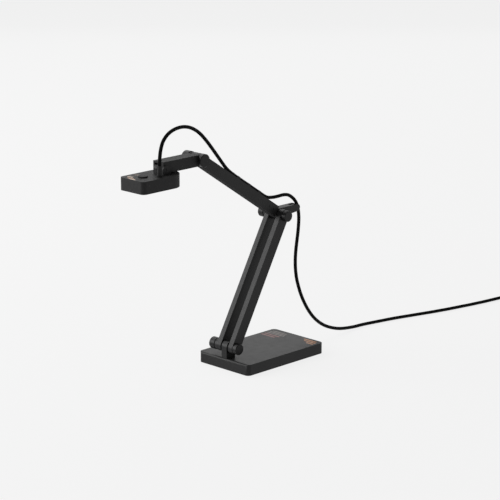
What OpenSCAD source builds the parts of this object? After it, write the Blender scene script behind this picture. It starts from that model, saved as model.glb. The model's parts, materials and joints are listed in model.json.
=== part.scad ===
// Document camera on a three-joint folding arm, standing on a weighted base.
// Millimetres. Origin: middle of the base's underside. +X right, -Y front (camera head side), +Z up.

/* [Base] */
// Width of the base, left to right
base_w = 80; // [76:1:100]
// Length of the base, front to back
base_l = 125; // [115:1:150]
// Height of the base, with its rubber pad
base_h = 13; // [13:0.5:16]
// Radius of the base's upright corners
base_corner_r = 5; // [4:0.5:8]
// Height of the lower hinge axis above the table
hinge_z = 25.2; // [24:0.2:30]

/* [Lower arm] */
// Distance between the lower hinge and the elbow axes
lower_len = 162.5; // [140:0.5:180]
// Lean of the lower arm from the horizontal, in degrees
lower_tilt = 60.7; // [55:0.1:70]
// Thickness of each of the two bars
bar_w = 6.4; // [6:0.1:7]
// Depth of the bars
bar_d = 13.6; // [13.2:0.1:14]
// Clear gap between the two bars
bar_gap = 12; // [12:0.1:13]

/* [Upper arm] */
// Distance between the elbow and the wrist axes
upper_len = 152.5; // [130:0.5:170]
// Direction of the upper arm, in degrees from straight back
upper_tilt = 146.6; // [140:0.1:152]
// Width of the upper arm
arm_w = 10; // [9.6:0.1:10]
// Depth of the upper arm
arm_d = 12.7; // [12.2:0.1:13.2]
// Length of the cable guide that points back from the elbow
tail_len = 33; // [28:0.5:36]

/* [Neck and head] */
// Width of the neck beam
neck_w = 16.3; // [16:0.1:18]
// Height of the neck beam
neck_h = 12.8; // [12.4:0.1:13.2]
// Distance from the wrist axis to the front end of the neck
neck_reach = 57.7; // [55:0.1:65]
// Width of the camera head
head_w = 38.8; // [38:0.1:44]
// Length of the camera head, front to back
head_l = 63.2; // [60:0.1:66]
// Height of the camera head
head_h = 14.2; // [14:0.1:16]
// Height of the camera head's gap under the neck
head_gap = 1; // [0.8:0.1:1.5]
// Radius of the focus button
button_r = 5.3; // [4.5:0.1:6]

/* [Cable] */
// Diameter of the USB cable
cable_d = 4; // [4:0.1:4.2]
// Middle radius of the stored coil of cable
coil_r = 21; // [20:0.5:24]

/* [Hidden] */
$fn = 64;
eps = 0.01;

// running and mounting clearances, on the radius or on one side
running = 0.05;
loose = 0.2;

// pivots, as [y, z]
pivot_a = [8.2 - base_l / 2, hinge_z];
pivot_b = pivot_a + lower_len * [cos(lower_tilt), sin(lower_tilt)];
pivot_c = pivot_b + upper_len * [cos(upper_tilt), sin(upper_tilt)];
pivot_d = pivot_c + [2.3 - neck_reach, -1.9];

// base
wall = 2;
rim_z = 0.2;
base_front_r = 2.5;
pad_t = 1.4;
plate_t = 1.8;
floor_z = pad_t + plate_t;
base_screw_x = base_w / 2 - 6.5;
base_screw_y = base_l / 2 - 6.5;
post_w = 8;
post_r = 6.9;
foot_w = 18;
foot_t = 3.2;
foot_front = 5.9;
foot_back = 10.3;
foot_screw_x = 6.4;

// arm hinges: friction hinges with a bolt, disc springs and a lock nut
bolt_r = 2.5;
bar_in = bar_gap / 2;
bar_out = bar_in + bar_w;
boss_r = 6.6;
boss_end = bar_out + 3.6;
washer_r = 5.6;
cap_r = 6.4;
cap_left_r = 6.8;
cap_end = boss_end + 9.1;
cap_right_end = bar_out + 6.1;
spring_stack = 1.6;
nut_h = 4;

// wrist
wrist_bolt_r = 2;
cheek_in = arm_w / 2 + 0.6;
cheek_r = 7;
wrist_cap_r = 7.6;
wrist_cap_end = neck_w / 2 + 9.75;
wrist_cap_right_end = neck_w / 2 + 5.25;

// upper arm
tube_wall = 1.5;
tube_start = 7;
arm_rise = 0.95;
groove_w = 4.6;
groove_depth = 0.8;
clip_floor = 0.4;
tongue_len = 27;
arm_pin_r = 1;
arm_pins_at = [14, 22];
tail_top = 7.6;
tail_end_r = 4.2;
slot_w = 4.5;
slot_from = 19;
clips_at = [44, 64, 84];

// neck
neck_wall = 2;
neck_room_back = 14;
neck_room_front = neck_reach - 8.5;
tilt_pin_r = 1.2;
neck_screws_at = [22, 44];

// head
head_top_z = pivot_c[1] - neck_h / 2 - head_gap;
head_bottom_z = head_top_z - head_h;
head_mid_y = pivot_d[0] - 14.7;
head_front_y = head_mid_y - 27.35;
head_rear_y = head_front_y + head_l;
head_rear_r = 18;
head_corner_r = 5;
head_wall = 1.5;
tray_h = 1.8;
ear_r = 4.6;
ear_t = 1.75;
ear_in = neck_w / 2 + 0.3;
yoke_w = 2 * (ear_in + ear_t);
lug_from = -5.5;
lug_to = -0.1;
yoke_t = 2.1;
ledge_t = 1.2;
lens_y = head_mid_y - 9;
button_y = head_mid_y - 10.2;
board_z = head_bottom_z + 8.1;
board_t = 1.2;
button_flange_r = button_r + 0.9;
button_out = 1.6;
head_screws_at = [[head_w / 2 - 4, head_front_y + 4], [11, head_rear_y - 8]];
led_x = 12.7;
led_dy = 21.5;
boot_x = 11.5;
boot_dy = 3.7;
boot_h = 12;

// cable route, by stretch: round numbers at rest, each stretch starting where the one before ends
cable_r = cable_d / 2;
boot_top = [boot_x, head_mid_y + boot_dy, head_top_z + boot_h];
loop_front_route = [boot_top, [11.5, -168, 265], [11, -166, 273], [10, -161.5, 281], [8.8, -153, 287.5],
    [7.6, -142, 291], [6.2, -129, 291.5]];
loop_rear_route = [[6.2, -129, 291.5], [5, -116, 288.5], [3.8, -103, 281.5], [2.8, -92, 272],
    [1.8, -81, 260.5], [0.8, -69, 247], [0.2, -56.5, 233]];
arm_run_route = [[0.2, -56.5, 233], arm_point(86), arm_point(74), arm_point(62), arm_point(50),
    arm_point(38), [8, 189.6], [17, 187.9], [26, 187.6], [35, 187.8], [43, 186.4], [50, 182.3],
    [56.2, 176], [60, 167]];
drop_route = [[60, 167], [61.5, 157], [60.8, 144], [58.9, 131]];
lead_route = [[58.9, 131], [57, 119], [56, 107], [56.4, 95.5], [58.3, 84], [61.2, 74.5], [65.3, 64],
    [70.9, 53], [78.3, 41.5], [87.1, 31], [97, 22.3], [108.5, 15.1], [121, 9.8], [134, 6], [147, 3.9],
    [161, 2.6], [0.5, 176, 2.2], [3.5, 193, 2.1], [6, 205, 2.1], [8.5, 217, 2.1], [11.5, 229, 2.1],
    [15, 241, 2.1], [18.5, 253, 2.1], [22, 265, 2.1], [25.5, 277, 2.1], [28.5, 289, 2.1],
    [31.5, 301, 2.1], [34, 313, 2.1], [36.5, 325, 2.1], [39, 337, 2.1], [41, 349, 2.1], [43, 361, 2.1],
    [44.5, 373, 2.1], [46, 385, 2.1], [47.5, 397, 2.1], [49, 410, 2.1]];
// directions of the cable where two stretches meet
seam_front = [-1.3, 13, -1.2];
seam_wrist = [-0.3, 13, -12.7];
seam_tail = [0, 2.7, -10];
seam_drop = [0, -1.6, -10];
seam_coil = [1.5, 13, 0];
coil_centre = [74, 414];
coil_half_w = 6.2;
coil_z = [0.8, 13.2];
plug_x = coil_r + coil_half_w + 1;
plug_back = 28;
plug_body = [15.6, 26, 8];
relief_len = 20;
plug_shell = [12, 18.6, 4.5];

// ---- helpers -------------------------------------------------------------------------------------

// puts children at a pivot, with +Y turned up by tilt
module at(pivot, tilt = 0) translate([0, pivot[0], pivot[1]]) rotate([tilt, 0, 0]) children();

// a cylinder along X, from x0 to x1
module xcyl(r, x0, x1) translate([x0, 0, 0]) rotate([0, 90, 0]) cylinder(r = r, h = x1 - x0);

// a solid of revolution about X, from [radius, x] points
module xturn(points) rotate([0, 90, 0]) rotate_extrude() polygon(points);

// a plate from x0 to x1, from an outline drawn in Y and Z
module xplate(x0, x1) translate([x0, 0, 0]) rotate([90, 0, 90]) linear_extrude(x1 - x0) children();

// a block between two corners
module block(a, b) translate(a) cube(b - a);

module rounded(w, l, r) {
    square([w - 2 * r, l], center = true);
    square([w, l - 2 * r], center = true);
    for (x = [-1, 1], y = [-1, 1]) translate([x * (w / 2 - r), y * (l / 2 - r)]) circle(r);
}

module slab(w, l, r, z0, z1) translate([0, 0, z0]) linear_extrude(z1 - z0) rounded(w, l, r);

module base_corners() for (x = [-1, 1], y = [-1, 1]) translate([x * base_screw_x, y * base_screw_y, 0])
    children();

module foot_screws() for (x = [-1, 1]) translate([x * foot_screw_x, pivot_a[0] + 3, 0]) children();

module head_corners() for (side = [-1, 1], p = head_screws_at) translate([side * p[0], p[1], 0]) children();

// a flat-headed screw that points up from the origin, its head below
module screw(r, length, head_r, head_t) {
    cylinder(r = r, h = length);
    translate([0, 0, -head_t]) difference() {
        cylinder(r = head_r, h = head_t);
        translate([0, 0, -eps]) cylinder(r = 0.55 * r, h = 0.6 * head_t, $fn = 6);
    }
}

// point on the upper arm's cable line, a distance from the elbow towards the wrist
function arm_point(s) = pivot_b + s * [cos(upper_tilt), sin(upper_tilt)]
    + (arm_d / 2 + arm_rise - groove_depth + clip_floor + cable_r) * [sin(upper_tilt), -cos(upper_tilt)];

// a route point as [x, y, z], with x = 0 where only y and z are given
function full(p) = len(p) == 3 ? p : [0, p[0], p[1]];

function unit(v) = v / norm(v);

// direction of a route at point i
function heading(route, i) = let (n = len(route) - 1)
    unit(full(route[min(i + 1, n)]) - full(route[max(i - 1, 0)]));

// ring of eight points round route point i, across the direction d
function ring(route, i, d) = let (side = unit(cross(d, [1, 0.02, 0])), up = cross(side, d))
    [for (a = [22.5 : 45 : 359]) full(route[i]) + cable_r * (cos(a) * side + sin(a) * up)];

// the cable along a route; start_dir and end_dir set the directions of its two end faces
module cable(route, start_dir, end_dir) {
    n = len(route);
    rings = [for (i = [0 : n - 1])
        each ring(route, i, i == 0 ? unit(start_dir) : i == n - 1 ? unit(end_dir) : heading(route, i))];
    sides = [for (i = [0 : n - 2], k = [0 : 7])
        [8 * i + k, 8 * i + (k + 1) % 8, 8 * i + 8 + (k + 1) % 8, 8 * i + 8 + k]];
    polyhedron(rings, concat([[for (k = [7 : -1 : 0]) k]], sides, [[for (k = [0 : 7]) 8 * n - 8 + k]]), 4);
}

// ---- base ----------------------------------------------------------------------------------------

module post_outline(grow) {
    circle(post_r + grow);
    translate([-post_r - grow, floor_z - hinge_z]) square([2 * (post_r + grow), hinge_z - floor_z]);
}

// the base from the side, with its upper front edge rounded
module base_side() {
    translate([base_front_r - base_l / 2, 0]) square([base_l, base_h]);
    translate([-base_l / 2, 0]) square([base_l, base_h - base_front_r]);
    translate([base_front_r - base_l / 2, base_h - base_front_r]) circle(base_front_r);
}

module base_shell() color("#3a3a3c") difference() {
    union() {
        difference() {
            intersection() {
                slab(base_w, base_l, base_corner_r, rim_z, base_h);
                xplate(-base_w, base_w) base_side();
            }
            slab(base_w - 2 * wall, base_l - 2 * wall, base_corner_r - wall, 0, base_h - wall);
        }
        base_corners() translate([0, 0, floor_z]) cylinder(r = 3.2, h = base_h - floor_z - 1);
    }
    base_corners() translate([0, 0, floor_z - eps]) cylinder(r = 1.05, h = 6.2);
    at(pivot_a) xplate(-post_w / 2 - loose, post_w / 2 + loose) post_outline(loose);
}

module base_bottom_plate() color("#202022") difference() {
    slab(base_w - 2 * wall - 0.4, base_l - 2 * wall - 0.4, base_corner_r - wall - 0.2, pad_t, floor_z);
    base_corners() {
        translate([0, 0, pad_t - eps]) cylinder(r = 2.5, h = 1 + eps);
        cylinder(r = 1.3, h = floor_z + 1);
    }
    foot_screws() {
        translate([0, 0, pad_t - eps]) cylinder(r = 2.9, h = 1 + eps);
        cylinder(r = 1.7, h = floor_z + 1);
    }
}

module base_weight() color("#6b6b6b") difference() {
    slab(base_w - 2 * wall - 4, base_l - 2 * wall - 4, 3, floor_z, base_h - wall - 0.4);
    base_corners() cylinder(r = 4, h = base_h);
    block([-foot_w / 2 - 1, -base_l / 2, 0], [foot_w / 2 + 1, pivot_a[0] + foot_back + 1, base_h]);
}

module base_pad() color("#161616")
    slab(base_w - 2 * wall - 1.2, base_l - 2 * wall - 1.2, base_corner_r - wall - 0.6, 0, pad_t);

module base_screws() color("silver")
    base_corners() translate([0, 0, pad_t + 1]) screw(1, 6.6, 2.2, 0.95);

module hinge_post() color("#343436") difference() {
    union() {
        at(pivot_a) xplate(-post_w / 2, post_w / 2) post_outline(0);
        block([-foot_w / 2, pivot_a[0] - foot_front, floor_z],
            [foot_w / 2, pivot_a[0] + foot_back, floor_z + foot_t]);
    }
    at(pivot_a) xcyl(bolt_r + running, -post_w, post_w);
    foot_screws() translate([0, 0, floor_z - eps]) cylinder(r = 1.3, h = foot_t + 1);
}

module hinge_post_screws() color("silver")
    foot_screws() translate([0, 0, pad_t + 1]) screw(1.25, 4.6, 2.6, 0.95);

// ---- friction hinges -----------------------------------------------------------------------------

module hinge_bolt() color("silver") difference() {
    union() {
        xcyl(4.3, bar_out, bar_out + 3.2);
        xcyl(bolt_r, -boss_end - spring_stack - nut_h - 0.6, bar_out + 0.5);
    }
    xplate(bar_out + 1.4, bar_out + 4) circle(2.3, $fn = 6);
}

module hinge_washers(half_w) color("#1c1c1c") for (side = [0, 1]) mirror([side, 0, 0]) difference() {
    xcyl(washer_r, half_w + running, bar_in - running);
    xcyl(bolt_r + running, 0, bar_in + 1);
}

// two disc springs, back to back between the bar's boss and the lock nut
module hinge_springs() color("#9a9a9a") {
    xturn([[2.6, -boss_end - 0.3], [4.6, -boss_end], [4.6, -boss_end - 0.5], [2.6, -boss_end - 0.8]]);
    xturn([[2.6, -boss_end - 0.8], [4.6, -boss_end - 1.1], [4.6, -boss_end - 1.6], [2.6, -boss_end - 1.3]]);
}

module hex_nut(x, across, height, bore) difference() {
    xplate(x - height, x) circle(across / 2 / cos(30), $fn = 6);
    xcyl(bore, x - height - 1, x + 1);
}

module hinge_nut() color("silver") hex_nut(-boss_end - spring_stack, 8, nut_h, bolt_r + running);

module left_cap(start, stop, r, room_r, end_t) color("#2c2c2e") mirror([1, 0, 0]) xturn([
    [room_r, start], [r - 1, start], [r - 1, start + 0.9], [r, start + 0.9], [r, stop - 0.7],
    [r - 0.7, stop], [0, stop], [0, stop - end_t], [room_r, stop - end_t]]);

module right_cap(start, stop, r, room_r, end_t) color("#2c2c2e") xturn([
    [room_r, start], [r, start], [r, stop - 0.7], [r - 0.7, stop], [0, stop], [0, stop - end_t],
    [room_r, stop - end_t]]);

// ---- lower arm -----------------------------------------------------------------------------------

module bar_outline() {
    circle(bar_d / 2);
    translate([0, -bar_d / 2]) square([lower_len, bar_d]);
    translate([lower_len, 0]) circle(bar_d / 2);
}

module bar(bosses) at(pivot_a, lower_tilt) difference() {
    union() {
        xplate(bar_in, bar_out) bar_outline();
        if (bosses) for (y = [0, lower_len]) translate([0, y, 0]) xcyl(boss_r, bar_out - 1, boss_end);
    }
    for (y = [0, lower_len]) translate([0, y, 0]) xcyl(bolt_r + running, 0, boss_end + 1);
}

module lower_bar_left() color("#333335") mirror([1, 0, 0]) bar(true);
module lower_bar_right() color("#333335") bar(false);

module lower_hinge_bolt() at(pivot_a) hinge_bolt();
module lower_hinge_washers() at(pivot_a) hinge_washers(post_w / 2);
module lower_hinge_springs() at(pivot_a) hinge_springs();
module lower_hinge_nut() at(pivot_a) hinge_nut();
module lower_hinge_left_cap() at(pivot_a) left_cap(boss_end, cap_end, cap_left_r, 4.95, 1.3);
module lower_hinge_right_cap() at(pivot_a) right_cap(bar_out, cap_right_end, cap_r, 4.6, 1.3);

module elbow_bolt() at(pivot_b) hinge_bolt();
module elbow_washers() at(pivot_b) hinge_washers(arm_w / 2);
module elbow_springs() at(pivot_b) hinge_springs();
module elbow_nut() at(pivot_b) hinge_nut();
module elbow_left_cap() at(pivot_b) left_cap(boss_end, cap_end, cap_left_r, 4.95, 1.3);
module elbow_right_cap() at(pivot_b) right_cap(bar_out, cap_right_end, cap_r, 4.6, 1.3);

// ---- upper arm -----------------------------------------------------------------------------------

// puts children in the upper arm's frame: +Y from the elbow to the wrist, -Z outwards and up
module in_arm() at(pivot_b, upper_tilt) translate([0, 0, -arm_rise]) children();

module upper_arm_tube() color("#333335") difference() {
    in_arm() difference() {
        union() {
            block([-arm_w / 2, tube_start, -arm_d / 2], [arm_w / 2, upper_len, arm_d / 2]);
            translate([0, upper_len, 0]) xcyl(arm_d / 2, -arm_w / 2, arm_w / 2);
        }
        block([tube_wall - arm_w / 2, tube_start - 1, tube_wall - arm_d / 2],
            [arm_w / 2 - tube_wall, upper_len - arm_d, arm_d / 2 - tube_wall]);
        block([-groove_w / 2, tube_start - 1, -arm_d],
            [groove_w / 2, upper_len - 20, groove_depth - arm_d / 2]);
        for (y = arm_pins_at) translate([0, y, 0]) xcyl(arm_pin_r + 0.02, -arm_w, arm_w);
    }
    at(pivot_c) xcyl(wrist_bolt_r + running, -arm_w, arm_w);
}

module tail_outline() {
    circle(bar_d / 2);
    translate([tail_len - tail_end_r, tail_top - tail_end_r]) circle(tail_end_r);
    polygon([[-3.2, 6], [-1, tail_top], [tail_len - tail_end_r, tail_top],
        [tail_len - tail_end_r, tail_top - 2 * tail_end_r], [6, -3]]);
}

module elbow_block() color("#333335") difference() {
    union() {
        at(pivot_b) xplate(-arm_w / 2, arm_w / 2) tail_outline();
        in_arm() block([0.1 + tube_wall - arm_w / 2, 0, 0.1 + tube_wall - arm_d / 2],
            [arm_w / 2 - tube_wall - 0.1, tongue_len, arm_d / 2 - tube_wall - 0.1]);
    }
    at(pivot_b) xcyl(bolt_r + running, -arm_w, arm_w);
    at(pivot_b) block([-slot_w / 2, slot_from, -arm_d], [slot_w / 2, tail_len + 1, arm_d]);
    in_arm() {
        for (y = arm_pins_at) translate([0, y, 0]) xcyl(arm_pin_r + 0.02, -arm_w, arm_w);
        difference() {
            block([-arm_w, tube_start - 0.05, -arm_d], [arm_w, tongue_len + 1, arm_d]);
            block([0.1 + tube_wall - arm_w / 2, 0, 0.1 + tube_wall - arm_d / 2],
                [arm_w / 2 - tube_wall - 0.1, tongue_len + 2, arm_d / 2 - tube_wall - 0.1]);
        }
    }
}

module arm_pins() color("#2b2b2c") in_arm()
    for (y = arm_pins_at) translate([0, y, 0]) xcyl(arm_pin_r, 0.1 - arm_w / 2, arm_w / 2 - 0.1);

// snap-in clips that hold the cable in the arm's groove
module cable_clips() color("#29292b") in_arm() for (y = clips_at)
    translate([0, y, groove_depth - arm_d / 2]) difference() {
        union() {
            block([-3.1, -2.5, -3.8], [3.1, 2.5, -groove_depth]);
            block([0.05 - groove_w / 2, -2.5, -3], [groove_w / 2 - 0.05, 2.5, 0]);
        }
        translate([0, -3, -clip_floor - cable_r]) rotate([-90, 0, 0]) cylinder(r = cable_r + 0.1, h = 6);
        block([-1.75, -3, -6], [1.75, 3, -clip_floor - cable_r]);
    }

// ---- neck and wrist ------------------------------------------------------------------------------

module neck_shell() color("#39393b") at(pivot_c) difference() {
    union() {
        block([-neck_w / 2, -neck_reach, -neck_h / 2], [neck_w / 2, 0, neck_h / 2]);
        xcyl(cheek_r, -neck_w / 2, neck_w / 2);
    }
    // fork round the upper arm's end, open to the back and below
    xcyl(cheek_r + 1, -cheek_in, cheek_in);
    block([-cheek_in, -2, -neck_h], [cheek_in, cheek_r + 1, neck_h]);
    xcyl(wrist_bolt_r + running, -neck_w, neck_w);
    // room inside, closed from below by the cover
    block([neck_wall - neck_w / 2, -neck_room_front, -neck_h], [neck_w / 2 - neck_wall, -neck_room_back,
        neck_h / 2 - neck_wall]);
    // slot for the yoke's lug, open to the front and below
    translate([0, pivot_d[0] - pivot_c[0], pivot_d[1] - pivot_c[1]]) {
        block([lug_from - 0.3, -neck_h, -neck_h], [lug_to + 0.3, ear_r + 0.3, ear_r + 1.5]);
        xcyl(tilt_pin_r + running, lug_from, neck_w);
    }
}

module neck_cover() color("#2c2c2e") at(pivot_c) difference() {
    union() {
        block([neck_wall + 0.1 - neck_w / 2, 0.1 - neck_room_front, -neck_h / 2],
            [neck_w / 2 - neck_wall - 0.1, -neck_room_back - 0.1, 1.6 - neck_h / 2]);
        for (y = neck_screws_at) translate([0, -y, -neck_h / 2])
            cylinder(r = 2.4, h = neck_h - neck_wall - 0.05);
    }
    for (y = neck_screws_at) translate([0, -y, -neck_h / 2]) {
        translate([0, 0, -eps]) cylinder(r = 2, h = 1.2);
        cylinder(r = 1.1, h = neck_h);
    }
}

module neck_screws() color("silver") at(pivot_c)
    for (y = neck_screws_at) translate([0, -y, 1.15 - neck_h / 2]) screw(1, 8.5, 1.9, 0.9);

module wrist_bolt() color("silver") at(pivot_c) difference() {
    union() {
        xcyl(3.4, neck_w / 2, neck_w / 2 + 2.6);
        xcyl(wrist_bolt_r, -neck_w / 2 - 4.1, neck_w / 2 + 0.5);
    }
    xplate(neck_w / 2 + 1, neck_w / 2 + 3) circle(1.75, $fn = 6);
}

module wrist_washers() color("#1c1c1c") at(pivot_c) for (side = [0, 1]) mirror([side, 0, 0]) difference() {
    xcyl(5.6, arm_w / 2 + running, cheek_in - running);
    xcyl(wrist_bolt_r + running, 0, cheek_in + 1);
}

module wrist_spring() color("#9a9a9a") at(pivot_c) xturn([[2.1, -neck_w / 2 - 0.3], [4, -neck_w / 2],
    [4, -neck_w / 2 - 0.5], [2.1, -neck_w / 2 - 0.8]]);

module wrist_nut() color("silver") at(pivot_c) hex_nut(-neck_w / 2 - 0.8, 7, 3, wrist_bolt_r + running);

module wrist_left_cap() at(pivot_c) left_cap(neck_w / 2, wrist_cap_end, wrist_cap_r, 4.4, 0.9);
module wrist_right_cap() at(pivot_c) right_cap(neck_w / 2, wrist_cap_right_end, cheek_r + 0.4, 4.4, 0.9);

// ---- camera head ---------------------------------------------------------------------------------

// the head from above, drawn in by inset: square at the front and nearly half round at the rear
module head_outline(inset) {
    half = head_w / 2 - inset;
    front = head_front_y + inset;
    rear = head_rear_y - inset;
    front_r = head_corner_r - inset;
    rear_r = head_rear_r - inset;
    translate([-half, front + front_r]) square([2 * half, rear - rear_r - front - front_r]);
    translate([front_r - half, front]) square([2 * (half - front_r), rear - rear_r - front]);
    translate([rear_r - half, rear - rear_r]) square([2 * (half - rear_r), rear_r]);
    for (side = [-1, 1]) {
        translate([side * (half - front_r), front + front_r]) circle(front_r);
        translate([side * (half - rear_r), rear - rear_r]) circle(rear_r);
    }
}

module head_slab(inset, z0, z1) translate([0, 0, z0]) linear_extrude(z1 - z0) head_outline(inset);

module in_head(x = 0, dy = 0) translate([x, head_mid_y + dy, 0]) children();

module head_top_cover() color("#3a3a3c") difference() {
    union() {
        difference() {
            head_slab(0, head_bottom_z + tray_h, head_top_z);
            head_slab(head_wall, head_bottom_z - 1, head_top_z - head_wall);
        }
        head_corners() translate([0, 0, head_bottom_z + tray_h + 0.1])
            cylinder(r = 2.3, h = head_h - tray_h - 1);
        // ledge that the yoke is screwed down on
        block([-yoke_w / 2 - 1.2, pivot_d[0] - ear_r - 1.2, head_top_z - yoke_t - 0.1 - ledge_t],
            [yoke_w / 2 + 1.2, pivot_d[0] + ear_r + 1.2, head_top_z - head_wall + eps]);
    }
    block([-yoke_w / 2 - 0.15, pivot_d[0] - ear_r - 0.15, head_top_z - yoke_t - 0.1],
        [yoke_w / 2 + 0.15, pivot_d[0] + ear_r + 0.15, head_top_z + 1]);
    head_corners() translate([0, 0, head_bottom_z]) cylinder(r = 0.85, h = 9);
    yoke_holes() cylinder(r = 1.1, h = head_top_z);
    in_head(0, button_y - head_mid_y) translate([0, 0, head_top_z - 3]) cylinder(r = button_r + 0.2, h = 4);
    in_head(led_x, -led_dy) translate([0, 0, head_top_z - 3]) cylinder(r = 0.75, h = 4);
    in_head(boot_x, boot_dy) translate([0, 0, head_top_z - 3]) cylinder(r = 2.75, h = 4);
}

module yoke_holes() for (x = [-1, 1]) translate([7 * x, pivot_d[0], 0]) children();

module head_bottom_cover() color("#2f2f31") difference() {
    union() {
        head_slab(0, head_bottom_z, head_bottom_z + tray_h);
        difference() {
            head_slab(head_wall + 0.1, head_bottom_z + tray_h - eps, head_bottom_z + tray_h + 1.2);
            head_slab(head_wall + 1.2, head_bottom_z, head_bottom_z + head_h);
            head_corners() cylinder(r = 2.6, h = head_top_z);
        }
    }
    head_corners() {
        translate([0, 0, head_bottom_z - 1]) cylinder(r = 1.75, h = 2);
        cylinder(r = 1, h = head_top_z);
    }
    translate([0, lens_y, head_bottom_z - 1]) cylinder(r = 8.1, h = 4);
}

module head_screws() color("silver")
    head_corners() translate([0, 0, head_bottom_z + 1]) screw(0.8, 8, 1.6, 0.9);

// one ear outside the neck's right face and a lug in the slot of the neck's end
module head_yoke() color("#2c2c2e") difference() {
    union() {
        for (span = [[ear_in, ear_in + ear_t], [lug_from, lug_to]]) xplate(span[0], span[1]) {
            translate(pivot_d) circle(ear_r);
            translate([pivot_d[0] - ear_r, head_top_z - yoke_t])
                square([2 * ear_r, pivot_d[1] - head_top_z + yoke_t]);
        }
        block([-yoke_w / 2 + eps, pivot_d[0] - ear_r, head_top_z - yoke_t],
            [yoke_w / 2 - eps, pivot_d[0] + ear_r, head_top_z]);
    }
    at(pivot_d) xcyl(tilt_pin_r + 0.01, lug_from - 1, yoke_w);
    yoke_holes() translate([0, 0, head_top_z - yoke_t - 1]) cylinder(r = 0.85, h = 2.6);
}

module yoke_screws() color("silver")
    yoke_holes() translate([0, 0, head_top_z - yoke_t - 0.1 - ledge_t]) screw(0.8, 2.8, 1.6, 0.8);

module tilt_pin() color("#2b2b2c") at(pivot_d) xcyl(tilt_pin_r, lug_from + 0.2, yoke_w / 2 - 0.2);

module cable_boot() color("#1c1c1e") in_head(boot_x, boot_dy) rotate_extrude() polygon([
    [0, head_top_z - 3.4], [3.6, head_top_z - 3.4], [3.6, head_top_z - head_wall - 0.05],
    [2.65, head_top_z - head_wall - 0.05], [2.65, head_top_z + 0.1], [3, head_top_z + 0.1],
    [3, head_top_z + 1.4], [2.4, head_top_z + boot_h], [0, head_top_z + boot_h]]);

module sensor_board() color("#1f5d3a") difference() {
    in_head(0, -2) translate([0, 0, board_z]) linear_extrude(board_t) square([30, 40], center = true);
    head_corners() translate([0, 0, board_z - 1]) cylinder(r = 3, h = board_t + 2);
}

module board_connector() color("ivory")
    in_head(-7, 2) translate([0, 0, board_z + board_t]) linear_extrude(1.9) square([8, 4], center = true);

module image_sensor() color("#2a2d5a") translate([0, lens_y, board_z - 0.8]) linear_extrude(0.8)
    square([7, 7], center = true);

module lens_holder() color("#141414") translate([0, lens_y, 0]) difference() {
    translate([0, 0, head_bottom_z + 2]) cylinder(r = 7, h = board_z - head_bottom_z - 2);
    translate([0, 0, head_bottom_z]) cylinder(r = 5.6, h = head_h);
}

module lens_barrel() color("#1a1a1a") translate([0, lens_y, 0]) difference() {
    translate([0, 0, head_bottom_z + 1.2]) cylinder(r = 5.55, h = 4.6);
    translate([0, 0, head_bottom_z]) cylinder(r = 4.2, h = head_h);
    translate([0, 0, head_bottom_z + 1]) cylinder(r = 4.9, h = 1.4);
}

module lens_glass() color("#30406080") translate([0, lens_y, head_bottom_z + 1.4])
    cylinder(r = 4.85, h = 0.95);

module lens_bezel() color("#0f0f10") translate([0, lens_y, 0]) rotate_extrude() polygon([
    [5.7, head_bottom_z + 0.9], [6.2, head_bottom_z], [8, head_bottom_z],
    [8, head_bottom_z + 1.9], [5.7, head_bottom_z + 1.9]]);

module focus_switch() color("#555558") translate([0, button_y, board_z + board_t]) {
    linear_extrude(1.2) square([6, 6], center = true);
    translate([0, 0, 1.2 - eps]) cylinder(r = 1.5, h = 0.6 + eps);
}

module focus_button() color("#38383a") translate([0, button_y, 0]) {
    translate([0, 0, head_top_z - head_wall - 0.65]) cylinder(r = button_flange_r, h = 0.6);
    translate([0, 0, head_top_z - head_wall - 0.1]) cylinder(r = button_r, h = head_wall + button_out);
}

module status_led() color("#202020") in_head(led_x, -led_dy) translate([0, 0, head_top_z - 2.2])
    cylinder(r = 0.7, h = 2.25);

// ---- cable ---------------------------------------------------------------------------------------

module cable_loop_front() color("#101010") cable(loop_front_route, [0, 0, 1], seam_front);
module cable_loop_rear() color("#101010") cable(loop_rear_route, seam_front, seam_wrist);
module cable_arm_run() color("#101010") cable(arm_run_route, seam_wrist, seam_tail);
module cable_drop() color("#101010") cable(drop_route, seam_tail, seam_drop);
module cable_lead() color("#101010") cable(lead_route, seam_drop, seam_coil);

module cable_coil() color("#101010") translate([coil_centre[0], coil_centre[1], 0]) rotate_extrude() polygon([
    [coil_r - coil_half_w + 1, coil_z[0]], [coil_r + coil_half_w - 1, coil_z[0]],
    [coil_r + coil_half_w, coil_z[0] + 1], [coil_r + coil_half_w, coil_z[1] - 1],
    [coil_r + coil_half_w - 1, coil_z[1]], [coil_r - coil_half_w + 1, coil_z[1]],
    [coil_r - coil_half_w, coil_z[1] - 1], [coil_r - coil_half_w, coil_z[0] + 1]]);

// a strip round the coil's far side
module cable_tie() color("#202020") translate([coil_centre[0], coil_centre[1], 0]) intersection() {
    rotate_extrude() difference() {
        translate([coil_r - coil_half_w - 0.9, 0]) square([2 * coil_half_w + 1.8, coil_z[1] + 0.8]);
        translate([coil_r - coil_half_w - 0.1, coil_z[0] - 0.1])
            square([2 * coil_half_w + 0.2, coil_z[1] - coil_z[0] + 0.2]);
    }
    block([-5, 0, -1], [5, 2 * coil_r, 2 * coil_z[1]]);
}

// the plug lies beside the coil and points to the front; the origin is where the cable goes in
module at_plug() translate([coil_centre[0] + plug_x, coil_centre[1] - plug_back, plug_body[2] / 2])
    children();

// with the strain relief at its back and the tongue that carries the contacts inside the shell
module usb_plug_body() color("#1a1a1a") at_plug() {
    rotate([-90, 0, 0]) cylinder(r1 = 3.6, r2 = 2.6, h = relief_len);
    block([-plug_body[0] / 2, -plug_body[1], -plug_body[2] / 2], [plug_body[0] / 2, 0, plug_body[2] / 2]);
    block([0.35 - plug_shell[0] / 2, -plug_body[1] - plug_shell[1] + 0.4, 0.35 - plug_shell[2] / 2],
        [plug_shell[0] / 2 - 0.35, -plug_body[1], -0.15]);
}

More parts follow.
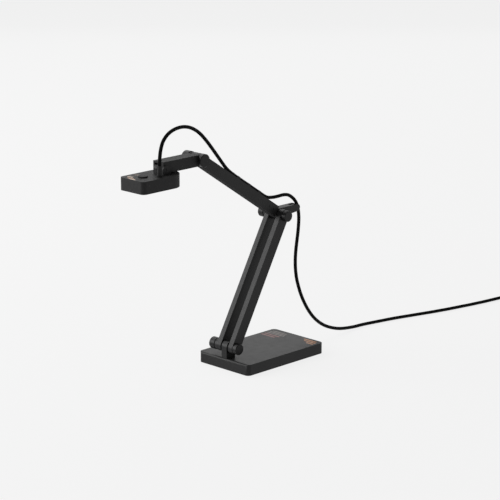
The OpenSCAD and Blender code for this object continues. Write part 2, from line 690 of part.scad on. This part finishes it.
module usb_plug_shell() color("silver") at_plug() translate([0, -plug_body[1], 0]) difference() {
    block([-plug_shell[0] / 2, -plug_shell[1], -plug_shell[2] / 2],
        [plug_shell[0] / 2, 0, plug_shell[2] / 2]);
    block([0.3 - plug_shell[0] / 2, -plug_shell[1] - 1, 0.3 - plug_shell[2] / 2],
        [plug_shell[0] / 2 - 0.3, 1, plug_shell[2] / 2 - 0.3]);
}

base_shell();
base_bottom_plate();
base_weight();
base_pad();
base_screws();
hinge_post();
hinge_post_screws();
lower_bar_left();
lower_bar_right();
lower_hinge_bolt();
lower_hinge_washers();
lower_hinge_springs();
lower_hinge_nut();
lower_hinge_left_cap();
lower_hinge_right_cap();
elbow_bolt();
elbow_washers();
elbow_springs();
elbow_nut();
elbow_left_cap();
elbow_right_cap();
upper_arm_tube();
elbow_block();
arm_pins();
cable_clips();
neck_shell();
neck_cover();
neck_screws();
wrist_bolt();
wrist_washers();
wrist_spring();
wrist_nut();
wrist_left_cap();
wrist_right_cap();
head_top_cover();
head_bottom_cover();
head_screws();
head_yoke();
yoke_screws();
tilt_pin();
cable_boot();
sensor_board();
board_connector();
image_sensor();
lens_holder();
lens_barrel();
lens_glass();
lens_bezel();
focus_switch();
focus_button();
status_led();
cable_loop_front();
cable_loop_rear();
cable_arm_run();
cable_drop();
cable_lead();
cable_coil();
cable_tie();
usb_plug_body();
usb_plug_shell();
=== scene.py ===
"""A document camera on a folding arm with four hinges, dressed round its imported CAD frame.

Lengths in the tables below are in millimetres, in the frame's axes: +X right, -Y front, +Z up.
Lights and the floor are in metres.
"""
import json
import math

import bmesh
import bpy
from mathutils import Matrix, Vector


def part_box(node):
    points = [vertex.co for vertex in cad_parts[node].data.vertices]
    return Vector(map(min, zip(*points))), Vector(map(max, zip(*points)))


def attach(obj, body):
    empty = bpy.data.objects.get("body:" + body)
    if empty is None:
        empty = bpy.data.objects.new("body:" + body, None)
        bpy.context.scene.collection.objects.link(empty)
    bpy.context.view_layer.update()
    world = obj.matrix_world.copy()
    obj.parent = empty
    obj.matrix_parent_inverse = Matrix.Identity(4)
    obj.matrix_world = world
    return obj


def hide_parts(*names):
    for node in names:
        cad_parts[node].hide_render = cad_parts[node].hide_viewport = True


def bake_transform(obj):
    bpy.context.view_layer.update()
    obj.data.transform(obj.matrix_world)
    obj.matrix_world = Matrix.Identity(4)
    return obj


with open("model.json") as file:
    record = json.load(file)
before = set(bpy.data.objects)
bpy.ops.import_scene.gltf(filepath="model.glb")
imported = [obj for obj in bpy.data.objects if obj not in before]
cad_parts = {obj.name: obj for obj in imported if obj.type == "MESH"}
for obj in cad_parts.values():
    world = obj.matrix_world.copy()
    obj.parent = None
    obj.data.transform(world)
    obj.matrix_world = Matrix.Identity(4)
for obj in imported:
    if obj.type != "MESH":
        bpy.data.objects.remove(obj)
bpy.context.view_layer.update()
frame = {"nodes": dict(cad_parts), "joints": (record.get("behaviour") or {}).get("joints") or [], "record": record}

MM = 0.001
NODES = frame["nodes"]
RECORD = frame["record"]
PIVOT = {j["name"]: Vector(j["pos_m"]) for j in frame["joints"] if j["type"] == "hinge"}
SCENE = bpy.context.scene


def mm(x, y, z):
    """A point in metres from millimetres."""
    return Vector((x, y, z)) * MM


# ---- camera -------------------------------------------------------------------------------------

CAMERA_PLACE = (1610.25, -1649.21, 733.4)
CAMERA_HEADING = 44.65
CAMERA_PITCH = 14.70
CAMERA_LENS = 149.8
CAMERA_SENSOR = 36
CAMERA_SIGHT = 30


def add_camera():
    """The viewing angle: heading and pitch in degrees, lens and sensor in millimetres."""
    data = bpy.data.cameras.new("camera")
    data.lens = CAMERA_LENS
    data.sensor_width = CAMERA_SENSOR
    data.clip_end = CAMERA_SIGHT
    camera = bpy.data.objects.new("camera", data)
    camera.location = mm(*CAMERA_PLACE)
    camera.rotation_euler = (math.radians(90 - CAMERA_PITCH), 0, math.radians(CAMERA_HEADING))
    SCENE.collection.objects.link(camera)
    SCENE.camera = camera


add_camera()


# ---- cable --------------------------------------------------------------------------------------

CABLE_D = 4.0
CABLE_R = CABLE_D / 2
CABLE_STEP = 2.0
CABLE_SIDES = 20
ARM_LIFT = 8.9

BOOT_LOW, BOOT_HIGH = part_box("cable_boot")
BOOT_TOP = Vector(((BOOT_LOW.x + BOOT_HIGH.x) / 2, (BOOT_LOW.y + BOOT_HIGH.y) / 2, BOOT_HIGH.z)) / MM

# Directions of the cable where two stretches meet.
SEAM_FRONT = (-1.3, 13, -1.2)
SEAM_WRIST = (-0.3, 13, -12.7)
SEAM_TAIL = (0, 2.7, -10)
SEAM_DROP = (0, -1.6, -10)
SEAM_COIL = (1.5, 13, 0)


def arm_point(s):
    """A point on the upper arm's cable line, s from the elbow towards the wrist."""
    along = (PIVOT["wrist"] - PIVOT["elbow"]).normalized()
    lift = Vector((0, along.z, -along.y))
    return tuple(PIVOT["elbow"] / MM + along * s + lift * ARM_LIFT)


HEAD_LOOP = [tuple(BOOT_TOP), (11.5, -168, 265), (11, -166, 273), (10, -161.5, 281), (8.8, -153, 287.5),
             (7.6, -142, 291), (6.2, -129, 291.5)]
WRIST_LOOP = [(6.2, -129, 291.5), (5, -116, 288.5), (3.8, -103, 281.5), (2.8, -92, 272), (1.8, -81, 260.5),
              (0.8, -69, 247), (0.2, -56.5, 233)]
ARM_RUN = [(0.2, -56.5, 233), arm_point(86), arm_point(74), arm_point(62), arm_point(50), arm_point(38),
           (0, 8, 189.6), (0, 17, 187.9), (0, 26, 187.6), (0, 35, 187.8), (0, 43, 186.4), (0, 50, 182.3),
           (0, 56.2, 176), (0, 60, 167)]
ELBOW_DROP = [(0, 60, 167), (0, 61.5, 157), (0, 60.8, 144), (0, 58.9, 131)]
LEAD = [(0, 58.9, 131), (0, 57, 119), (0, 56, 107), (0, 56.4, 95.5), (0, 58.3, 84), (0, 61.2, 74.5),
        (0, 65.3, 64), (0, 70.9, 53), (0, 78.3, 41.5), (0, 87.1, 31), (0, 97, 22.3), (0, 108.5, 15.1),
        (0, 121, 9.8), (0, 134, 6), (0, 147, 3.9), (0, 161, 2.6), (0.5, 176, 2.2), (3.5, 193, 2.1),
        (6, 205, 2.1), (8.5, 217, 2.1), (11.5, 229, 2.1), (15, 241, 2.1), (18.5, 253, 2.1), (22, 265, 2.1),
        (25.5, 277, 2.1), (28.5, 289, 2.1), (31.5, 301, 2.1), (34, 313, 2.1), (36.5, 325, 2.1),
        (39, 337, 2.1), (41, 349, 2.1), (43, 361, 2.1), (44.5, 373, 2.1), (46, 385, 2.1), (47.5, 397, 2.1),
        (49, 410, 2.1)]

# The coil's rings as (radius, layer), and after how many turns the cable moves to the next ring.
COIL_CENTRE = (74, 414)
COIL_START = 189.0
COIL_TURNS = 7.4556
COIL_RINGS = [(25, 0), (21, 0), (17, 0), (17, 1), (21, 1), (25, 1), (21, 2), (25, 2)]
COIL_SHIFTS = [1, 2, 3, 4, 5, 6, 6.5]
COIL_SHIFT_HALF = 0.08
COIL_POINTS_PER_TURN = 60
LAYER_RISE = 4.1
COIL_FLOOR = 2.1
PLUG_ENTRY = (102.2, 406, 4)
COIL_EXIT = [(100.3, 421.2, 10.3), (103.2, 415.3, 8.8), (103.0, 410.3, 5.6), PLUG_ENTRY, (102.2, 399, 4)]


def smoothstep(t):
    """0 up to 1, levelling off at both ends."""
    t = min(max(t, 0.0), 1.0)
    return t * t * (3 - 2 * t)


def coil_point(turn):
    """The cable's middle after that many turns of the stored coil."""
    radius, layer = COIL_RINGS[0]
    for ring, shift in zip(COIL_RINGS[1:], COIL_SHIFTS):
        share = smoothstep((turn - shift + COIL_SHIFT_HALF) / (2 * COIL_SHIFT_HALF))
        radius += (ring[0] - radius) * share
        layer += (ring[1] - layer) * share
    angle = math.radians(COIL_START - 360 * turn)
    return Vector((COIL_CENTRE[0] + radius * math.cos(angle), COIL_CENTRE[1] + radius * math.sin(angle),
                   COIL_FLOOR + LAYER_RISE * layer))


def smooth_path(points, start=None, end=None):
    """Points every CABLE_STEP along a smooth curve through points, in millimetres."""
    points = [Vector(p) for p in points]
    last = len(points) - 1
    heading = []
    for i in range(len(points)):
        before, after = points[max(i - 1, 0)], points[min(i + 1, last)]
        heading.append((after - before).normalized())
    if start is not None:
        heading[0] = Vector(start).normalized()
    if end is not None:
        heading[-1] = Vector(end).normalized()
    path = []
    for i in range(last):
        a, b = points[i], points[i + 1]
        reach = (b - a).length
        steps = max(2, round(reach / CABLE_STEP))
        for k in range(steps):
            t = k / steps
            path.append((2 * t**3 - 3 * t**2 + 1) * a + (t**3 - 2 * t**2 + t) * reach * heading[i]
                        + (3 * t**2 - 2 * t**3) * b + (t**3 - t**2) * reach * heading[i + 1])
    path.append(points[-1])
    return path


def new_object(name, bm, smooth=True):
    """A mesh object from a bmesh in metres."""
    bmesh.ops.recalc_face_normals(bm, faces=bm.faces)
    mesh = bpy.data.meshes.new(name)
    bm.to_mesh(mesh)
    bm.free()
    for polygon in mesh.polygons:
        polygon.use_smooth = smooth
    obj = bpy.data.objects.new(name, mesh)
    SCENE.collection.objects.link(obj)
    return obj


def add_wall(bm, low, high):
    """Faces between two closed loops of the same number of vertices."""
    for k in range(len(low)):
        j = (k + 1) % len(low)
        bm.faces.new((low[k], low[j], high[j], high[k]))


def tube(name, path, radius, sides=CABLE_SIDES):
    """A round tube along a path in millimetres, with closed ends."""
    bm = bmesh.new()
    rings = []
    side = None
    last = len(path) - 1
    for i, point in enumerate(path):
        ahead = (path[min(i + 1, last)] - path[max(i - 1, 0)]).normalized()
        if side is None:
            side = ahead.orthogonal().normalized()
        side = (side - ahead * side.dot(ahead)).normalized()
        other = ahead.cross(side)
        ring = []
        for k in range(sides):
            angle = 2 * math.pi * k / sides
            out = math.cos(angle) * side + math.sin(angle) * other
            ring.append(bm.verts.new((point + radius * out) * MM))
        rings.append(ring)
    for low, high in zip(rings, rings[1:]):
        add_wall(bm, low, high)
    bm.faces.new(rings[0])
    bm.faces.new(rings[-1])
    return new_object(name, bm)


def add_cable(name, points, start, end, node, extra=()):
    """One stretch of the cable, standing for its CAD solid."""
    path = smooth_path(points, start, end) + [Vector(p) for p in extra]
    piece = tube(name, path, CABLE_R)
    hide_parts(node)
    return piece


def add_cables():
    """The cable from the head to its plug, one piece for each joint that it bends over."""
    head_loop = add_cable("cable_over_head", HEAD_LOOP, (0, 0, 1), SEAM_FRONT, "cable_loop_front")
    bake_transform(head_loop)
    wrist_loop = add_cable("cable_over_wrist", WRIST_LOOP, SEAM_FRONT, SEAM_WRIST, "cable_loop_rear")
    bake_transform(wrist_loop)
    arm_run = add_cable("cable_on_arm", ARM_RUN, SEAM_WRIST, SEAM_TAIL, "cable_arm_run")
    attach(arm_run, "upper_arm")
    drop = add_cable("cable_behind_elbow", ELBOW_DROP, SEAM_TAIL, SEAM_DROP, "cable_drop")
    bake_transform(drop)
    steps = int(COIL_TURNS * COIL_POINTS_PER_TURN)
    turns = [coil_point(k / COIL_POINTS_PER_TURN) for k in range(1, steps)]
    leaving = smooth_path([turns[-1]] + COIL_EXIT, turns[-1] - turns[-2], (0, -1, 0))
    lead = add_cable("cable_lead_and_coil", LEAD, SEAM_DROP, SEAM_COIL, "cable_lead",
                     extra=turns + leaving[1:])
    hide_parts("cable_coil")
    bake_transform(lead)
    return [head_loop, wrist_loop, arm_run, drop, lead]


CABLES = add_cables()


# ---- materials ----------------------------------------------------------------------------------


class Shader:
    """A material's node tree, built up step by step round one principled shader."""

    def __init__(self, name):
        self.material = bpy.data.materials.new(name)
        self.material.use_nodes = True
        self.nodes = self.material.node_tree.nodes
        self.links = self.material.node_tree.links
        self.bsdf = self.nodes["Principled BSDF"]
        self.place = self.nodes.new("ShaderNodeTexCoord").outputs["Object"]

    def set(self, **values):
        """Sets the principled shader's own sockets, with _ for each space in their names."""
        for name, value in values.items():
            self.bsdf.inputs[name.replace("_", " ")].default_value = value

    def noise(self, scale, detail=3.0):
        """Cloudy noise with about scale patches to the metre."""
        node = self.nodes.new("ShaderNodeTexNoise")
        node.inputs["Scale"].default_value = scale
        node.inputs["Detail"].default_value = detail
        self.links.new(self.place, node.inputs["Vector"])
        return node.outputs["Fac"]

    def cells(self, scale):
        """The distance to the middle of the nearest of scattered cells."""
        node = self.nodes.new("ShaderNodeTexVoronoi")
        node.inputs["Scale"].default_value = scale
        self.links.new(self.place, node.inputs["Vector"])
        return node.outputs["Distance"]

    def facing(self, direction):
        """How squarely the surface faces a direction of the object, 1 where it faces it fully."""
        node = self.nodes.new("ShaderNodeVectorMath")
        node.operation = "DOT_PRODUCT"
        self.links.new(self.place.node.outputs["Normal"], node.inputs[0])
        node.inputs[1].default_value = Vector(direction).normalized()
        return node.outputs["Value"]

    def larger(self, a, b):
        node = self.nodes.new("ShaderNodeMath")
        node.operation = "MAXIMUM"
        self.links.new(a, node.inputs[0])
        self.links.new(b, node.inputs[1])
        return node.outputs["Value"]

    def span(self, value, low, high, start=0.3, stop=0.7):
        """value, from start to stop, as a number from low to high."""
        node = self.nodes.new("ShaderNodeMapRange")
        for name, number in (("From Min", start), ("From Max", stop), ("To Min", low), ("To Max", high)):
            node.inputs[name].default_value = number
        self.links.new(value, node.inputs["Value"])
        return node.outputs["Result"]

    def mix(self, factor, a, b):
        """Colour a where factor is 0, b where it is 1; a may be another colour output."""
        node = self.nodes.new("ShaderNodeMix")
        node.data_type = "RGBA"
        self.links.new(factor, node.inputs["Factor"])
        for socket, colour in ((node.inputs["A"], a), (node.inputs["B"], b)):
            if isinstance(colour, bpy.types.NodeSocket):
                self.links.new(colour, socket)
            else:
                socket.default_value = (*colour, 1)
        return node.outputs["Result"]

    def colour(self, output):
        self.links.new(output, self.bsdf.inputs["Base Color"])

    def roughness(self, output):
        self.links.new(output, self.bsdf.inputs["Roughness"])

    def bump(self, height, depth, strength=1.0):
        """Adds a bump of that depth in metres on top of any bump already there."""
        node = self.nodes.new("ShaderNodeBump")
        node.inputs["Distance"].default_value = depth
        node.inputs["Strength"].default_value = strength
        self.links.new(height, node.inputs["Height"])
        normal = self.bsdf.inputs["Normal"]
        if normal.is_linked:
            self.links.new(normal.links[0].from_socket, node.inputs["Normal"])
        self.links.new(node.outputs["Normal"], normal)


def times(colour, factor):
    return tuple(c * factor for c in colour)


PLASTIC_IOR = 1.28
RUBBER_IOR = 1.25
JACKET_IOR = 1.12
GLASS_IOR = 1.52
DUST = (0.30, 0.29, 0.27)
DULL = 0.95
ROUGHNESS_SPREAD = 0.025


def moulded(name, colour, roughness, grain_depth=12e-6, mottling=0.10, dull_side=None):
    """Moulded plastic: fine spark-eroded grain, slight mottling and a little dust in patches.

    The faces whose normal is dull_side, if given, are unpolished."""
    s = Shader(name)
    patches = s.span(s.noise(45, 4), 0, 1)
    tone = s.mix(patches, times(colour, 1 - mottling), times(colour, 1 + mottling))
    dust = s.span(s.noise(900, 2), 0.0, 0.10, 0.62, 0.8)
    s.colour(s.mix(dust, tone, DUST))
    rough = s.span(s.noise(110, 5), roughness - ROUGHNESS_SPREAD, roughness + ROUGHNESS_SPREAD)
    if dull_side is not None:
        rough = s.larger(rough, s.span(s.facing(dull_side), 0.0, DULL, 0.9, 0.97))
    s.roughness(rough)
    s.bump(s.noise(2600, 2), grain_depth)
    s.bump(s.noise(60, 2), 4e-6, 0.5)
    s.set(IOR=PLASTIC_IOR)
    return s.material


def rubber(name, colour, roughness=0.7):
    """Matt rubber with a fine grain."""
    s = Shader(name)
    s.colour(s.mix(s.span(s.noise(70, 4), 0, 1), times(colour, 0.8), times(colour, 1.3)))
    s.roughness(s.span(s.noise(260, 3), roughness - 0.08, roughness + 0.08))
    s.bump(s.noise(3500, 2), 10e-6)
    s.set(IOR=RUBBER_IOR)
    return s.material


def jacket(name, colour):
    """Soft cable jacket: near black, satin, with the faint ripple of the drawn wires below."""
    s = Shader(name)
    s.colour(s.mix(s.span(s.noise(90, 3), 0, 1), times(colour, 0.8), times(colour, 1.4)))
    s.roughness(s.span(s.noise(300, 3), 0.42, 0.56))
    s.bump(s.noise(160, 2), 30e-6, 0.5)
    s.bump(s.noise(3000, 2), 6e-6)
    s.set(IOR=JACKET_IOR)
    return s.material


def steel(name, colour, roughness=0.3):
    """Turned or stamped metal with fine tool marks."""
    s = Shader(name)
    marks = s.noise(900, 4)
    s.colour(s.mix(s.span(marks, 0, 1), times(colour, 0.86), colour))
    s.roughness(s.span(s.noise(300, 4), roughness - 0.07, roughness + 0.1))
    s.bump(marks, 8e-6)
    s.set(Metallic=1.0)
    return s.material


def cast_iron(name):
    """Sand-cast iron, rough and pitted."""
    s = Shader(name)
    s.colour(s.mix(s.span(s.cells(500), 0, 1, 0.0, 0.6), (0.10, 0.10, 0.10), (0.2, 0.19, 0.18)))
    s.roughness(s.span(s.noise(200, 4), 0.55, 0.8))
    s.bump(s.cells(700), 120e-6)
    s.set(Metallic=0.9)
    return s.material


def solder_mask(name):
    """Green board with darker tracks under the mask."""
    s = Shader(name)
    brick = s.nodes.new("ShaderNodeTexBrick")
    brick.inputs["Scale"].default_value = 420
    brick.inputs["Mortar Size"].default_value = 0.12
    brick.inputs["Color1"].default_value = (0.010, 0.085, 0.035, 1)
    brick.inputs["Color2"].default_value = (0.014, 0.11, 0.045, 1)
    brick.inputs["Mortar"].default_value = (0.03, 0.20, 0.08, 1)
    s.links.new(s.place, brick.inputs["Vector"])
    s.colour(brick.outputs["Color"])
    s.bump(brick.outputs["Fac"], 20e-6)
    s.set(Roughness=0.28)
    return s.material


def clear_glass(name):
    """Coated lens glass: clear, with a faint violet bloom."""
    s = Shader(name)
    s.colour(s.mix(s.span(s.noise(60, 2), 0, 1), (0.80, 0.82, 0.90), (0.88, 0.90, 0.96)))
    s.set(Roughness=0.02, IOR=GLASS_IOR, Transmission_Weight=1.0, Coat_Weight=0.6, Coat_Roughness=0.02,
          Coat_Tint=(0.75, 0.7, 1.0, 1))
    return s.material


def woven_strip(name, colour):
    """Hook-and-loop strip: a soft looped face."""
    s = Shader(name)
    loops = s.cells(2600)
    s.colour(s.mix(s.span(loops, 0, 1, 0.0, 0.5), times(colour, 1.8), colour))
    s.bump(loops, 180e-6)
    s.set(Roughness=0.85, Sheen_Weight=0.25, Sheen_Roughness=0.4)
    return s.material


def ink(name, colour):
    """Printed ink: a thin satin layer with slightly uneven cover."""
    s = Shader(name)
    s.colour(s.mix(s.span(s.noise(1400, 3), 0, 1, 0.35, 0.65), times(colour, 0.78), colour))
    s.roughness(s.span(s.noise(600, 3), 0.32, 0.45))
    return s.material


CHARCOAL = (0.0092, 0.0092, 0.0095)
MATERIALS = {
    "shell_plastic": moulded("shell_plastic", CHARCOAL, 0.40),
    "gloss_cover": moulded("gloss_cover", CHARCOAL, 0.56, grain_depth=8e-6),
    "dark_plastic": moulded("dark_plastic", times(CHARCOAL, 0.7), 0.48),
    "cap_plastic": moulded("cap_plastic", times(CHARCOAL, 0.66), 0.38, grain_depth=6e-6),
    "pad_rubber": rubber("pad_rubber", (0.012, 0.012, 0.012)),
    "soft_rubber": rubber("soft_rubber", (0.014, 0.014, 0.014), 0.55),
    "weight_iron": cast_iron("weight_iron"),
    "zinc_steel": steel("zinc_steel", (0.62, 0.62, 0.60)),
    "black_steel": steel("black_steel", (0.02, 0.02, 0.021), 0.45),
    "spring_steel": steel("spring_steel", (0.36, 0.36, 0.40), 0.25),
    "washer_plastic": moulded("washer_plastic", (0.006, 0.006, 0.006), 0.45),
    "circuit_board": solder_mask("circuit_board"),
    "connector_plastic": moulded("connector_plastic", (0.72, 0.68, 0.58), 0.45, mottling=0.04),
    "sensor_face": moulded("sensor_face", (0.03, 0.03, 0.09), 0.12, grain_depth=1e-6),
    "lens_plastic": moulded("lens_plastic", (0.010, 0.010, 0.010), 0.5),
    "lens_glass": clear_glass("lens_glass"),
    "bezel_plastic": moulded("bezel_plastic", (0.012, 0.012, 0.013), 0.18, grain_depth=2e-6),
    "switch_metal": steel("switch_metal", (0.5, 0.5, 0.5), 0.3),
    "button_plastic": moulded("button_plastic", times(CHARCOAL, 0.8), 0.6, grain_depth=5e-6),
    "led_plastic": moulded("led_plastic", (0.006, 0.006, 0.006), 0.25, mottling=0.03),
    "cable_jacket": jacket("cable_jacket", (0.0020, 0.0020, 0.0020)),
    "tie_plastic": woven_strip("tie_plastic", (0.012, 0.012, 0.012)),
    "plug_plastic": moulded("plug_plastic", (0.011, 0.011, 0.011), 0.45),
    "plug_metal": steel("plug_metal", (0.74, 0.73, 0.71), 0.18),
}
ORANGE_INK = ink("orange_ink", (0.42, 0.18, 0.068))
BROWN_INK = ink("brown_ink", (0.14, 0.085, 0.055))
CREAM_INK = ink("cream_ink", (0.66, 0.52, 0.40))
RED_INK = ink("red_ink", (0.17, 0.050, 0.042))
PALE_INK = ink("pale_ink", (0.17, 0.145, 0.13))

# Every CAD node takes its record slot's material, and the upper arm's tube is unpolished below.
for part in RECORD["subparts"]:
    slots = NODES[part["node"]].data.materials
    slots.clear()
    slots.append(MATERIALS[part["material_slot"]])
ARM_LINE = PIVOT["wrist"] - PIVOT["elbow"]
ARM_PLASTIC = moulded("arm_plastic", CHARCOAL, 0.40, dull_side=(0, -ARM_LINE.z, ARM_LINE.y))
NODES["upper_arm_tube"].data.materials[0] = ARM_PLASTIC
for cable in CABLES:
    cable.data.materials.append(MATERIALS["cable_jacket"])


# ---- rounding of the CAD parts ------------------------------------------------------------------

SMOOTH_BELOW = math.radians(38)
FLAT_BELOW = math.radians(0.5)
ROUND_ABOVE = math.radians(35)
WELD_REACH = 2e-6
NORMAL_WEIGHT = 60


def smooth_shading_group():
    """Geometry nodes that smooth every face and keep the sharp edges sharp."""
    group = bpy.data.node_groups.new("smooth_shading", "GeometryNodeTree")
    group.interface.new_socket("Geometry", in_out="INPUT", socket_type="NodeSocketGeometry")
    group.interface.new_socket("Geometry", in_out="OUTPUT", socket_type="NodeSocketGeometry")
    start = group.nodes.new("NodeGroupInput")
    stop = group.nodes.new("NodeGroupOutput")
    faces = group.nodes.new("GeometryNodeSetShadeSmooth")
    edges = group.nodes.new("GeometryNodeSetShadeSmooth")
    edges.domain = "EDGE"
    edges.inputs["Shade Smooth"].default_value = False
    angle = group.nodes.new("GeometryNodeInputMeshEdgeAngle")
    sharp = group.nodes.new("FunctionNodeCompare")
    sharp.inputs["B"].default_value = SMOOTH_BELOW
    group.links.new(angle.outputs["Unsigned Angle"], sharp.inputs["A"])
    group.links.new(sharp.outputs["Result"], edges.inputs["Selection"])
    group.links.new(start.outputs["Geometry"], faces.inputs["Geometry"])
    group.links.new(faces.outputs["Geometry"], edges.inputs["Geometry"])
    group.links.new(edges.outputs["Geometry"], stop.inputs["Geometry"])
    return group


SMOOTH_SHADING = smooth_shading_group()


def shade(obj):
    """Smooth shading whose flat faces stay flat next to their rounded edges."""
    obj.modifiers.new("shading", "NODES").node_group = SMOOTH_SHADING
    weighted = obj.modifiers.new("normals", "WEIGHTED_NORMAL")
    weighted.keep_sharp = True
    weighted.weight = NORMAL_WEIGHT


def soften(obj, width, segments):
    """Rounds obj's sharp edges to width millimetres."""
    weld = obj.modifiers.new("weld", "WELD")
    weld.merge_threshold = WELD_REACH
    flat = obj.modifiers.new("flat", "DECIMATE")
    flat.decimate_type = "DISSOLVE"
    flat.angle_limit = FLAT_BELOW
    bevel = obj.modifiers.new("edges", "BEVEL")
    bevel.width = width * MM
    bevel.segments = segments
    bevel.limit_method = "ANGLE"
    bevel.angle_limit = ROUND_ABOVE
    bevel.use_clamp_overlap = True
    shade(obj)


EDGE_ROUND = {
    "base_shell": 0.55, "base_bottom_plate": 0.2, "base_pad": 0.3, "hinge_post": 0.45,
    "lower_bar_left": 0.35, "lower_bar_right": 0.35, "upper_arm_tube": 0.45, "elbow_block": 0.45,
    "neck_shell": 0.5, "neck_cover": 0.25, "head_top_cover": 0.5, "head_bottom_cover": 0.35,
    "head_yoke": 0.35, "cable_clips": 0.15, "focus_button": 0.25, "lens_bezel": 0.2, "lens_barrel": 0.15,
    "lower_hinge_left_cap": 0.15, "lower_hinge_right_cap": 0.08, "elbow_left_cap": 0.15,
    "elbow_right_cap": 0.08, "wrist_left_cap": 0.15, "wrist_right_cap": 0.1, "cable_boot": 0.3,
    "usb_plug_body": 0.45, "usb_plug_shell": 0.12, "cable_tie": 0.3, "status_led": 0.12,
    "board_connector": 0.15, "focus_switch": 0.2, "base_weight": 0.6,
}
SMALL_ROUND = 0.08
WIDE_ROUND = 0.3

# The cable's own solids are replaced by its stretches drawn above.
for node, obj in NODES.items():
    if not node.startswith("cable_") or node in EDGE_ROUND:
        width = EDGE_ROUND.get(node, SMALL_ROUND)
        soften(obj, width, 3 if width > WIDE_ROUND else 2)


# ---- printed marks ------------------------------------------------------------------------------

MARK_T = 0.06
MARK_END_STEPS = 8


def printed_bar(name, body, x0, x1, y, width, z, material):
    """A flat bar of ink with round ends, on a level face at height z, in millimetres."""
    bm = bmesh.new()
    outline = []
    radius = width / 2
    for centre, start in ((x1 - radius, -90), (x0 + radius, 90)):
        for k in range(MARK_END_STEPS + 1):
            angle = math.radians(start + 180 * k / MARK_END_STEPS)
            outline.append((centre + radius * math.cos(angle), y + radius * math.sin(angle)))
    low = [bm.verts.new(mm(px, py, z - MARK_T / 2)) for px, py in outline]
    high = [bm.verts.new(mm(px, py, z + MARK_T / 2)) for px, py in outline]
    bm.faces.new(low)
    bm.faces.new(high)
    add_wall(bm, low, high)
    piece = new_object(name, bm, smooth=False)
    piece.data.materials.append(material)
    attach(piece, body)
    return piece


HEAD_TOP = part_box("head_top_cover")[1].z / MM
BASE_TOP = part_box("base_shell")[1].z / MM
# Each mark: its colour's name, from x to x, y, width and ink.
HEAD_MARKS = [("cream", -15.5, -6.5, -190.9, 1.7, CREAM_INK), ("brown", -13.5, -2, -193.4, 1.5, BROWN_INK),
              ("orange", -10, 2, -195.6, 1.3, ORANGE_INK), ("cream", -6, 4.8, -197.6, 1.5, CREAM_INK),
              ("brown", -16.5, -8, -187.6, 1.2, BROWN_INK), ("brown", -17, -5.5, -178.2, 1.3, BROWN_INK),
              ("brown", -17, -7.5, -181.2, 1.1, BROWN_INK)]
BASE_MARKS = [("orange", 14, 34, 56.6, 2.2, ORANGE_INK), ("orange", 18.5, 36.5, 52.2, 2.2, ORANGE_INK),
              ("orange", 26, 36.5, 47.8, 2.2, ORANGE_INK), ("red", -36, -14, 36.5, 2.6, RED_INK),
              ("red", -36, -11, 41.5, 2.6, RED_INK), ("pale", -36, -9, 46.5, 1.6, PALE_INK),
              ("pale", -35.5, -10, 50.5, 1.6, PALE_INK), ("pale", -34, -12, 54.5, 1.6, PALE_INK)]
for number, (word, x0, x1, y, width, material) in enumerate(HEAD_MARKS, 1):
    printed_bar(f"head_mark_{word}_{number}", "head", x0, x1, y, width, HEAD_TOP, material)
for number, (word, x0, x1, y, width, material) in enumerate(BASE_MARKS, 1):
    printed_bar(f"base_mark_{word}_{number}", "base", x0, x1, y, width, BASE_TOP, material)


# ---- studio -------------------------------------------------------------------------------------

FLOOR_DEPTH = 0.0002
FLOOR_HALF = 12.0
FLOOR_GLOW = 0.82
SURROUND = 0.5
SUBJECT = (0, -0.03, 0.12)
# Each light: its name, place, size and power in watts.
SOFTBOXES = [("key_light", (-1.7, -1.6, 0.95), (1.8, 1.7), 54),
             ("back_light", (-1.7, 1.7, 0.72), (2.8, 1.05), 6),
             ("top_light", (-1.5, 0.3, 1.9), (2.0, 1.6), 20)]


def add_floor():
    """A plain pale floor that glows evenly, so that it keeps only a faint shadow."""
    bm = bmesh.new()
    bm.faces.new([bm.verts.new((x * FLOOR_HALF, y * FLOOR_HALF, -FLOOR_DEPTH)) for x, y in
                  ((-1, -1), (1, -1), (1, 1), (-1, 1))])
    floor = new_object("studio_floor", bm, smooth=False)
    s = Shader("studio_floor")
    s.set(Base_Color=(0.08, 0.08, 0.08, 1), Roughness=1.0, Specular_IOR_Level=0.0,
          Emission_Color=(1, 1, 1, 1), Emission_Strength=FLOOR_GLOW)
    floor.data.materials.append(s.material)


def add_softbox(name, place, size, power):
    """A rectangular light turned towards the middle of the object."""
    data = bpy.data.lights.new(name, "AREA")
    data.shape = "RECTANGLE"
    data.size, data.size_y = size
    data.energy = power
    light = bpy.data.objects.new(name, data)
    light.location = place
    light.rotation_euler = (Vector(SUBJECT) - Vector(place)).to_track_quat("-Z", "Y").to_euler()
    SCENE.collection.objects.link(light)


def add_studio():
    add_floor()
    world = bpy.data.worlds.new("studio")
    world.use_nodes = True
    background = world.node_tree.nodes["Background"]
    background.inputs["Color"].default_value = (1, 1, 1, 1)
    background.inputs["Strength"].default_value = SURROUND
    SCENE.world = world
    SCENE.view_settings.view_transform = "Standard"
    for softbox in SOFTBOXES:
        add_softbox(*softbox)


add_studio()
